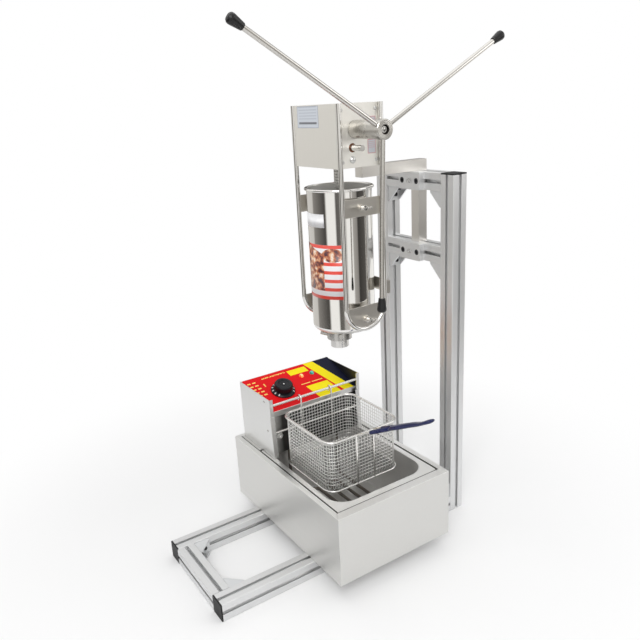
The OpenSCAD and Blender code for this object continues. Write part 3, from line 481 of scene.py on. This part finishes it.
# ---- Hopper ----
# Drawn stainless can, mirror polished outside and duller inside, with a rolled rim and a
# short neck. The nozzle is held by a union nut with four stub handles.
HOPPER_X, HOPPER_R, HOPPER_WALL, RIM_ROLL = 0.089, 0.070, 0.0006, 0.002
MIRROR_ROUGHNESS, MIRROR_WEAR, BORE_ROUGHNESS = 0.045, 0.05, 0.30
can = polished("hopper_mirror", (0.84, 0.83, 0.81), MIRROR_ROUGHNESS, MIRROR_WEAR)
can_x, can_y, can_z = can.axes()
bore = ((can.radius(can_x - HOPPER_X, can_y) < HOPPER_R - HOPPER_WALL)
        * (can_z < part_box("hopper")[1].z - RIM_ROLL))
smear = can.noise(0.035, along("Z", 3), detail=4.0)
can.set(Metallic=1.0 - bore * 0.25,
        Roughness=smear * MIRROR_WEAR + MIRROR_ROUGHNESS + bore * BORE_ROUGHNESS)
dress(can, "hopper")
dress(polished("nut_steel", (0.48, 0.47, 0.45), 0.08, wear=0.06, edge=0.0006), "nozzle_nut")
dress(polished("nozzle_steel", (0.66, 0.65, 0.63), 0.08, wear=0.06), "nozzle")
dress(brushed("turned_piston", (0.62, 0.62, 0.61), along("XY", 8), 0.25), "piston")
dress(moulded("seal_silicone", (0.62, 0.10, 0.06), roughness=0.5), "piston_seal")


# ---- Hopper labels ----
# Two printed paper labels, glued round the can. The large one has red bands on white with
# a plain brown and cream patch and oval; the small one above it is bare white.
PAPER_T, PAPER_LIFT, LABEL_STEPS = 0.0002, 0.00025, 24
WRAP_START, WRAP_END, WRAP_LOW, WRAP_HIGH = -213, -117.5, 0.5855, 0.7035
BAND_COUNT, BAND_SHARE = 6.4, 0.40
PATCH_END, PATCH_FOOT, PATCH_TOP, PATCH_SLANT = -158, 0.16, 0.20, 0.004
OVAL_TURN, OVAL_HALF_TURN, OVAL_UP, OVAL_HALF_UP = -141, 21, 0.815, 0.125
LABEL_RED, LABEL_WHITE = (0.82, 0.075, 0.050), (0.88, 0.87, 0.88)
BROWN_TO_CREAM = [(0.38, (0.07, 0.02, 0.03)), (0.50, (0.46, 0.12, 0.05)),
                  (0.59, (0.78, 0.46, 0.26)), (0.70, (0.92, 0.84, 0.78))]


def wrapped_label(name, start, end, low, high, finish):
    """A sheet bent round the hopper between two angles, in degrees from +X."""
    work = bmesh.new()
    reach, turn = HOPPER_R + PAPER_LIFT, math.radians(start)
    first = Vector((HOPPER_X + reach * math.cos(turn), reach * math.sin(turn), low))
    bottom = work.verts.new(first)
    top = work.verts.new(first + Vector((0, 0, high - low)))
    edge = work.edges.new((bottom, top))
    bmesh.ops.spin(work, geom=[bottom, top, edge], cent=(HOPPER_X, 0, 0), axis=(0, 0, 1),
                   angle=math.radians(end - start), steps=LABEL_STEPS)
    thick = new_piece(name, work, "extruder", finish).modifiers.new("paper", "SOLIDIFY")
    thick.thickness, thick.offset = PAPER_T, -1


wrap = Finish("striped_label")
wrap_x, wrap_y, wrap_z = wrap.axes()
angle = wrap.maths("ARCTAN2", wrap_y, wrap_x - HOPPER_X) * (180 / math.pi)
turn = angle - (angle > 0) * 360
part_up = (wrap_z - WRAP_LOW) * (1 / (WRAP_HIGH - WRAP_LOW))
blotch = wrap.noise(0.012)
picture = wrap.add("ShaderNodeValToRGB", {"stops": BROWN_TO_CREAM}, {0: blotch})
bands = wrap.blend(wrap.maths("FRACT", part_up * BAND_COUNT) < BAND_SHARE, LABEL_WHITE, LABEL_RED)
in_patch = ((turn < PATCH_END) * (part_up > PATCH_FOOT)
            * (part_up + turn * PATCH_SLANT < PATCH_TOP))
in_oval = wrap.radius((turn - OVAL_TURN) * (1 / OVAL_HALF_TURN),
                      (part_up - OVAL_UP) * (1 / OVAL_HALF_UP)) < 1
wrap.set(Base_Color=wrap.blend(wrap.maths("MAXIMUM", in_patch, in_oval), bands, picture),
         Roughness=0.3 + blotch * 0.08, Coat_Weight=0.3)
wrapped_label("wrap_label", WRAP_START, WRAP_END, WRAP_LOW, WRAP_HIGH, wrap)
paper = moulded("white_label_paper", (0.78, 0.78, 0.79), roughness=0.4)
wrapped_label("small_label", -206, -154, 0.740, 0.768, paper)


# ---- Levers ----
# Three polished 10 mm rods screwed into a turned hub, each with a tapered black knob. The
# hub's face shows its turning rings, and a screw in its recess holds it on the shaft.
CRANK_X, CRANK_Z = 0.08043, 0.935
HUB_FACE_Y, RING_WAVE, RECESS_R, RECESS_Y = -0.1715, 2400, 0.0092, -0.150
HUB_SCREW_R, HUB_SCREW_Y = 0.0052, -0.1672


def dome(radius, flatten, place, segments):
    """A ball flattened along one axis, for the head of a screw or rivet."""
    work = bmesh.new()
    bmesh.ops.create_uvsphere(work, u_segments=segments, v_segments=12, radius=radius)
    bmesh.ops.scale(work, vec=flatten, verts=work.verts)
    bmesh.ops.translate(work, vec=place, verts=work.verts)
    return work


hub = polished("turned_hub", (0.60, 0.58, 0.545), 0.22, wear=0.08, edge=0.0006)
hub_x, hub_y, hub_z = hub.axes()
from_axis = hub.radius(hub_x - CRANK_X, hub_z - CRANK_Z)
rings = hub.maths("SINE", from_axis * RING_WAVE) * (hub_y < HUB_FACE_Y)
# Painted shade: the recess round the screw is painted near black.
recess = (from_axis < RECESS_R) * (hub_y < RECESS_Y)
turned_face = hub.blend(rings * 0.5 + 0.5, (0.40, 0.385, 0.36), (0.66, 0.64, 0.60))
hub.set(Base_Color=hub.blend(recess, turned_face, (0.05, 0.045, 0.04)))
hub.relief(rings, 0.00008, edge=0.0006)
dress(hub, "lever_hub")
screw_head = dome(HUB_SCREW_R, (1, 0.4, 1), (CRANK_X, HUB_SCREW_Y, CRANK_Z), segments=24)
new_piece("hub_screw", screw_head, "crank",
          polished("hub_screw_steel", (0.52, 0.51, 0.49), 0.12))
dress(polished("lever_rod", (0.62, 0.60, 0.57), 0.11, wear=0.06), "lever_rods")
dress(moulded("black_knob", MOULDED_BLACK, roughness=0.24).set(Specular_IOR_Level=0.4),
      "lever_knobs")


# ---- Fryer body ----
# Folded from one brushed stainless sheet, with the rim mitred at its corners. The open
# edge that faces the pan is painted dark as painted shade in the groove, and the rim's
# flat top is painted lighter as a painted highlight.
RIM_EDGE, RIM_TOP, GROOVE_TOP, GROOVE_FOOT = 0.002, 0.0008, 0.0012, 0.190
GROOVE_PAINTED_SHADE, RIM_PAINTED_HIGHLIGHT = (0.10, 0.098, 0.092), (0.88, 0.875, 0.86)


def overlay(finish, mask, colour):
    """Paints a masked part of a finish over with one colour."""
    under = Value(finish, finish.shader.inputs["Base Color"].links[0].from_socket)
    return finish.set(Base_Color=finish.blend(mask, under, colour))


body_low, body_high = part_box("fryer_body")
side_sheet = brushed("fryer_side_sheet", (0.73, 0.725, 0.705), along("Y", 50), 0.27,
                     contrast=0.08, edge=0.0009)
body_z = side_sheet.axes()[2]
groove = (inset(side_sheet, body_low, body_high, RIM_EDGE)
          * (body_z < body_high.z - GROOVE_TOP) * (body_z > GROOVE_FOOT))
# Painted shade: the body's inner wall below the rim is painted dark.
overlay(side_sheet, groove, GROOVE_PAINTED_SHADE)
# Painted highlight: the rim's flat top is painted lighter.
dress(overlay(side_sheet, body_z > body_high.z - RIM_TOP, RIM_PAINTED_HIGHLIGHT), "fryer_body")


# ---- Pan ----
# Deep drawn from one sheet. Its walls are a cloudy grey, partly random tone and partly
# painted shade, and its flat flange is painted lighter as a painted highlight. It hangs in
# the body's ledge by the flange, whose hem is painted dark as painted shade.
FLANGE_FOOT, HEM_WIDTH = 0.1965, 0.0022
PAN_DARK, PAN_LIGHT, FLANGE_PAINTED_HIGHLIGHT = (0.58, 0.575, 0.56), (0.82, 0.81, 0.79), (0.90, 0.895, 0.88)
PAINTED_SHADE_DARK = (0.09, 0.088, 0.084)
pan_steel = brushed("drawn_pan", (0.66, 0.655, 0.64), along("Z", 12), 0.22, contrast=0.25, edge=0.0009)
flange = pan_steel.axes()[2] > FLANGE_FOOT
# Walls: cloudy grey, partly random tone and partly painted shade. Flange: painted lighter as a painted
# highlight.
bowl = pan_steel.blend(pan_steel.noise(0.05), PAN_DARK, PAN_LIGHT)
pan_steel.set(Base_Color=pan_steel.blend(flange, bowl, FLANGE_PAINTED_HIGHLIGHT), Metallic=flange * 0.3 + 0.7)
# Painted shade: the flange's hem is painted dark.
dress(overlay(pan_steel, 1 - inset(pan_steel, *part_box("pan"), HEM_WIDTH), PAINTED_SHADE_DARK), "pan")


# ---- Control head ----
# Folded box between two cheeks on a loose base plate, with the heating element's two
# risers behind its panel. The plate behind the basket and one cheek's inside lie in shade,
# which is painted dark into their colour.
FRONT_PLATE_Y, SHADE_START, SHADE_END = 0.0745, -0.072, -0.050
CHEEK_INNER, CHEEK_OUTER, CHEEK_FRONT = 0.150, 0.1678, 0.0700
HEAD_STEEL, CHEEK_PAINTED_SHADE = (0.74, 0.735, 0.72), (0.012, 0.013, 0.018)
dress(brushed("fittings_sheet", HEAD_STEEL, along("Z", 40), contrast=0.1), "head_fittings")
head_sheet = brushed("head_sheet", HEAD_STEEL, along("Z", 40), 0.28, contrast=0.06)
head_x, head_y, _ = head_sheet.axes()
# Painted shade: the plate behind the basket is painted dark, fading in towards +X.
plate_painted_shade = head_sheet.rise(head_x, SHADE_START, SHADE_END) * (head_y < FRONT_PLATE_Y)
dress(overlay(head_sheet, plate_painted_shade, PAINTED_SHADE_DARK), "head_shell")
cheek_sheet = brushed("cheek_sheet", (0.80, 0.80, 0.79), along("Z", 40), 0.28, contrast=0.08)
cheek_x, cheek_y, _ = cheek_sheet.axes()
# Painted shade: the right cheek's inside is painted near black and made non-metallic.
inner_right = (cheek_x > CHEEK_INNER) * (cheek_x < CHEEK_OUTER) * (cheek_y > CHEEK_FRONT)
overlay(cheek_sheet, inner_right, CHEEK_PAINTED_SHADE)
dress(cheek_sheet.set(Metallic=1.0 - inner_right), "head_cheeks")
dress(brushed("element_sheath", (0.30, 0.27, 0.24), along("Z", 3), 0.3, contrast=0.4),
      "heating_element")


# ---- Control panel ----
# Screen-printed plate in red, yellow and navy on the head's slope, with a bare steel lip
# in front. Plain bars stand round the knob and the lamps, and a mark above the knob. The
# places of the printed fields are in millimetres, seen from above.
PRINT_RED, PRINT_YELLOW, PRINT_NAVY = (0.70, 0.006, 0.010), (0.90, 0.76, 0.01), (0.008, 0.010, 0.028)
LEGEND_GOLD, LIP_STEEL, LIP_Y = (0.90, 0.62, 0.16), (0.70, 0.695, 0.68), 0.0742
panel = Finish("printed_panel")
panel_x, panel_y, _ = panel.axes()


def beside(line_start, line_end):
    """1 on the right of a line drawn on the panel from front to back, in millimetres."""
    (x0, y0), (x1, y1) = line_start, line_end
    run = (x1 - x0) / (y1 - y0)
    return (panel_x - panel_y * run) > (x0 - y0 * run) / 1000


def in_box(corner, back_left, front_right):
    """1 inside a slanted box on the panel, by its front left, back left and front right corners."""
    lean = (back_left[0] - corner[0]) / (back_left[1] - corner[1])
    rise = (front_right[1] - corner[1]) / (front_right[0] - corner[0])
    side = panel_x - panel_y * lean
    ahead = panel_y - panel_x * rise
    return ((side > (corner[0] - corner[1] * lean) / 1000)
            * (side < (front_right[0] - front_right[1] * lean) / 1000)
            * (ahead > (corner[1] - corner[0] * rise) / 1000)
            * (ahead < (back_left[1] - back_left[0] * rise) / 1000))


def bar(x, y, width, height):
    """1 inside an upright bar on the panel, by its front left corner."""
    return in_box((x, y), (x, y + height), (x + width, y))


ink = panel.blend(beside((132, 72), (90, 200)), PRINT_RED, PRINT_YELLOW)
ink = panel.blend(beside((161, 72), (119, 200)), ink, PRINT_NAVY)
ink = panel.blend(in_box((37, 171), (35, 190), (90, 171)), ink, PRINT_YELLOW)
ink = panel.blend(in_box((61, 71), (50, 121), (123, 71)), ink, PRINT_YELLOW)
legend = bar(-38, 186.5, 68, 4) * (panel.noise(0.003, detail=1.0) > 0.45)
legend = legend + bar(43, 130, 26, 2.6) + bar(74, 130, 31, 2.6) + bar(-43, 160, 3, 11)
for row in range(5):
    for column in (0, 1):
        legend = legend + bar(-80 + column * 14 + row * 1.5, 133 + (4 - row) * 12, 9, 4)
ink = panel.blend(legend > 0.5, ink, LEGEND_GOLD)
lip = panel_y < LIP_Y
panel.set(Base_Color=panel.blend(lip, ink, LIP_STEEL), Metallic=lip, Specular_IOR_Level=0.10,
          Roughness=0.50 - lip * 0.2 + panel.noise(0.02) * 0.08)
panel.relief(panel.noise(0.003), 0.00001, edge=0.0005)
dress(panel, "control_panel")


# ---- Thermostat knob ----
# Moulded in black with a dished, rounded cap on a wider skirt, which carries a printed
# scale. It is pushed on a stem that stands square to the sloping panel.
PANEL_FRONT_Y, PANEL_FRONT_Z, PANEL_RISE, PANEL_RUN = 0.074, 0.3073, 0.040, 0.126
PANEL_SLOPE = math.atan2(PANEL_RISE, PANEL_RUN)
KNOB_X, KNOB_UP_PANEL = -0.010, 0.061
KNOB_AT = (KNOB_X, PANEL_FRONT_Y + KNOB_UP_PANEL * math.cos(PANEL_SLOPE),
           PANEL_FRONT_Z + KNOB_UP_PANEL * math.sin(PANEL_SLOPE))
TICK_ANGLE, TICK_SHARE, SCALE_HALF_ANGLE = 24, 0.22, 150
TICK_INNER, TICK_OUTER, SKIRT_TOP, CAP_GLINT_R = 0.0245, 0.0288, 0.0075, 0.0017
knob = Finish("thermostat_knob")
grain = knob.noise(0.0006, detail=2.0)
knob_x, knob_y, knob_z = knob.split(knob.add(
    "ShaderNodeMapping", {"vector_type": "TEXTURE"},
    {"Vector": knob.here(), "Location": KNOB_AT, "Rotation": (PANEL_SLOPE, 0, 0)}))
from_stem = knob.radius(knob_x, knob_y)
bearing = knob.maths("ARCTAN2", knob_x, knob_y) * (180 / math.pi)
tick = ((knob.maths("FRACT", bearing * (1 / TICK_ANGLE) + 0.5) < TICK_SHARE)
        * (from_stem > TICK_INNER) * (from_stem < TICK_OUTER) * (knob_z < SKIRT_TOP)
        * (knob.maths("ABSOLUTE", bearing) < SCALE_HALF_ANGLE))
# Painted glint: a small white dot at the cap's centre.
cap = knob.blend(from_stem < CAP_GLINT_R, (0.004, 0.005, 0.008), (0.90, 0.90, 0.88))
knob.set(Base_Color=knob.blend(tick, cap, (0.72, 0.72, 0.70)), Specular_IOR_Level=0.25,
         Roughness=0.30 + grain * 0.12)
knob.relief(grain, 0.00003, edge=0.0005)
dress(knob, "thermostat_knob")


# ---- Cheek rivets ----
# Two round-headed steel rivets through the left cheek, which hold the brackets of the
# hanging bars.
RIVET_R = 0.0034
for name, y, z in (("cheek_rivet_upper", 0.0873, 0.3350), ("cheek_rivet_lower", 0.0795, 0.2632)):
    rivet = dome(RIVET_R, (0.35, 1, 1), (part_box("head_cheeks")[0].x, y, z), segments=20)
    new_piece(name, rivet, "head", polished(name + "_steel", (0.58, 0.57, 0.55), 0.2))


# ---- Lamps ----
# An amber and a green indicator lamp, pushed into the panel. Each is a clear ribbed lens
# with a lit core.
LAMP_X, LAMP_GAP, CORE_HALF = 0.061, 0.031, 0.0030
lens = Finish("lamp_lens")
lens_x = lens.axes()[0]
ribs = lens.noise(0.002)
green = lens_x > LAMP_X + LAMP_GAP / 2
core = lens.maths("ABSOLUTE", lens_x - (green * LAMP_GAP + LAMP_X)) < CORE_HALF
rim_colour = lens.blend(green, (0.80, 0.10, 0.02), (0.0, 0.22, 0.17))
core_colour = lens.blend(green, (1.0, 0.62, 0.22), (0.02, 0.45, 0.36))
lens.set(Base_Color=lens.blend(core, rim_colour, core_colour),
         Emission_Color=lens.blend(green, (1.0, 0.30, 0.05), (0.0, 0.30, 0.22)),
         Emission_Strength=0.25, Roughness=0.12 + ribs * 0.06, Coat_Weight=0.6)
dress(lens, "panel_lamps")


# ---- Basket ----
# Woven stainless mesh on a welded wire frame that hooks over the hanging bar. The mesh
# is 1.4 mm wire at 8 mm: most wires run down one wall, under the floor and up again, and
# closed rings of wire cross them round the walls.
WIRE_R, PITCH, BEND, CORNER = 0.00070, 0.0080, 0.009, 0.0255
END_GAP, TOP_WIRE, BEND_SHARE, CORNER_STEPS = 0.004, 0.001, 0.9, 6
BEND_ANGLES = (0, 0.4, 0.8, 1.2, math.pi / 2)
FLOOR_WIRES, FLOOR_WIRE_PAINTED_SHADE = 0.0035, (0.22, 0.215, 0.205)
mesh_low, mesh_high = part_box("basket_mesh")
middle = (mesh_low + mesh_high) / 2
half_w = (mesh_high.x - mesh_low.x) / 2 - WIRE_R
half_l = (mesh_high.y - mesh_low.y) / 2 - WIRE_R
floor_z, rim_z = mesh_low.z + WIRE_R, mesh_high.z
dress(polished("basket_wire", (0.80, 0.79, 0.77), 0.18, wear=0.12), "basket_frame")
woven = polished("mesh_wire", (0.90, 0.89, 0.87), 0.24, wear=0.08).set(Metallic=0.9)
# Painted shade: the wires on the basket's floor are painted dark.
overlay(woven, woven.axes()[2] < mesh_low.z + FLOOR_WIRES, FLOOR_WIRE_PAINTED_SHADE)


def wires(name, runs, radius):
    """Round wires along runs of points, a closed run where its flag is set, as one mesh."""
    line = bpy.data.curves.new(name, "CURVE")
    line.dimensions, line.bevel_depth, line.bevel_resolution = "3D", radius, 1
    line.use_fill_caps = True
    for points, closed in runs:
        run = line.splines.new("POLY")
        run.points.add(len(points) - 1)
        for at, point in zip(run.points, points):
            at.co = (*point, 1)
        run.use_cyclic_u = closed
    drawn = bpy.data.objects.new(name + "_line", line)
    bpy.context.collection.objects.link(drawn)
    rounded = drawn.evaluated_get(bpy.context.evaluated_depsgraph_get())
    mesh = bpy.data.meshes.new_from_object(rounded)
    bpy.data.objects.remove(drawn)
    return mesh


def reach(off, half_along, half_across):
    """How far the rounded plan reaches sideways at a distance off its middle."""
    over = max(0.0, abs(off) - (half_along - CORNER))
    return half_across - CORNER + math.sqrt(max(0.0, CORNER ** 2 - over ** 2))


def u_wire(off, half_along, half_across, lift, place):
    """One wire down a wall, under the floor and up again, at a distance off the middle."""
    side = reach(off, half_along, half_across)
    bend = min(BEND, side * BEND_SHARE)
    low = floor_z + lift
    left = [(-side, rim_z)] + [(-side + bend * (1 - math.cos(t)), low + bend * (1 - math.sin(t)))
                               for t in BEND_ANGLES]
    profile = left + [(-u, z) for u, z in reversed(left)]
    return [place(off, u, z) for u, z in profile]


runs = []
for half_along, half_across, lift, place in (
        (half_l, half_w, 0, lambda off, u, z: (middle.x + u, middle.y + off, z)),
        (half_w, half_l, 2 * WIRE_R, lambda off, u, z: (middle.x + off, middle.y + u, z))):
    count = int((half_along - END_GAP) / PITCH)
    for i in range(-count, count + 1):
        runs.append((u_wire(i * PITCH, half_along, half_across, lift, place), False))
plan = []
for quarter, (sx, sy) in enumerate(((1, 1), (-1, 1), (-1, -1), (1, -1))):
    for step in range(CORNER_STEPS + 1):
        t = math.pi / 2 * (quarter + step / CORNER_STEPS)
        plan.append((middle.x + sx * (half_w - CORNER) + (CORNER - WIRE_R) * math.cos(t),
                     middle.y + sy * (half_l - CORNER) + (CORNER - WIRE_R) * math.sin(t)))
for i in range(int((rim_z - floor_z - BEND) / PITCH) + 1):
    runs.append(([(x, y, rim_z - TOP_WIRE - i * PITCH) for x, y in plan], True))
weave = add_piece("basket_weave", wires("basket_weave", runs, WIRE_R), "basket", woven)
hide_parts("basket_mesh")


# ---- Handle ----
# Two sleeves and a flat, waisted grip, dipped in glossy blue plastic over the frame's
# prongs. The dip is thickest near the grip's root and thins at its waist.
GRIP_ROOT, GRIP_RISE = (0.040, -0.1309, 0.3033), math.radians(27)
PRONG_SPLAY, PRONG_HALF, SLEEVE_R = math.radians(9), 0.023, 0.0046
GRIP_RINGS = [(0.1005, 0.0090, 0.0030, 0), (0.102, 0.0110, 0.0044, 0), (0.112, 0.0130, 0.0051, 0),
              (0.1400, 0.0140, 0.0051, 0), (0.175, 0.0142, 0.0046, 0),
              (0.1960, 0.0128, 0.0038, -0.0010), (0.210, 0.0122, 0.0036, -0.0006),
              (0.2240, 0.0128, 0.0040, 0.0006), (0.233, 0.0110, 0.0038, 0.0010),
              (0.2365, 0.0075, 0.0026, 0.0012), (0.2378, 0.0030, 0.0010, 0.0012)]
SLEEVE_RINGS = [(along_prong, r, r, 0) for along_prong, r in (
    (0.046, 0.0036), (0.0468, 0.0044), (0.049, SLEEVE_R), (0.080, SLEEVE_R), (0.108, SLEEVE_R),
    (0.112, 0.003))]


def loft(rings, place):
    """A closed skin over oval rings given as (along, half width, half thickness, offset)."""
    work = bmesh.new()
    bmesh.ops.create_circle(work, cap_ends=True, radius=1.0, segments=20)
    edges = work.edges[:]
    up, wide, thick, shift = rings[0]
    bmesh.ops.scale(work, vec=(wide, thick, 1), verts=work.verts)
    bmesh.ops.translate(work, vec=(0, shift, up), verts=work.verts)
    for ring in rings[1:]:
        grown = bmesh.ops.extrude_edge_only(work, edges=edges)["geom"]
        verts = [g for g in grown if isinstance(g, bmesh.types.BMVert)]
        edges = [g for g in grown if isinstance(g, bmesh.types.BMEdge)
                 and all(v in verts for v in g.verts)]
        bmesh.ops.translate(work, vec=(0, -shift, -up), verts=verts)
        bmesh.ops.scale(work, vec=(ring[1] / wide, ring[2] / thick, 1), verts=verts)
        up, wide, thick, shift = ring
        bmesh.ops.translate(work, vec=(0, shift, up), verts=verts)
    bmesh.ops.contextual_create(work, geom=edges)
    bmesh.ops.transform(work, matrix=place, verts=work.verts)
    return work


dipped = moulded("dipped_grip", (0.003, 0.007, 0.060), roughness=0.2, grain=0.004, depth=0.00002)
dipped.set(Coat_Weight=0.15, Specular_IOR_Level=0.35)
root = Matrix.Translation(GRIP_ROOT) @ Matrix.Rotation(math.pi / 2 - GRIP_RISE, 4, "X")
grip = new_piece("grip_dip", loft(GRIP_RINGS, root), "basket", dipped)
for name, side in (("grip_sleeve_left", -1), ("grip_sleeve_right", 1)):
    prong = (root @ Matrix.Translation((side * PRONG_HALF, 0, 0))
             @ Matrix.Rotation(-side * PRONG_SPLAY, 4, "Y"))
    new_piece(name, loft(SLEEVE_RINGS, prong), "basket", dipped)
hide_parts("handle_grip")
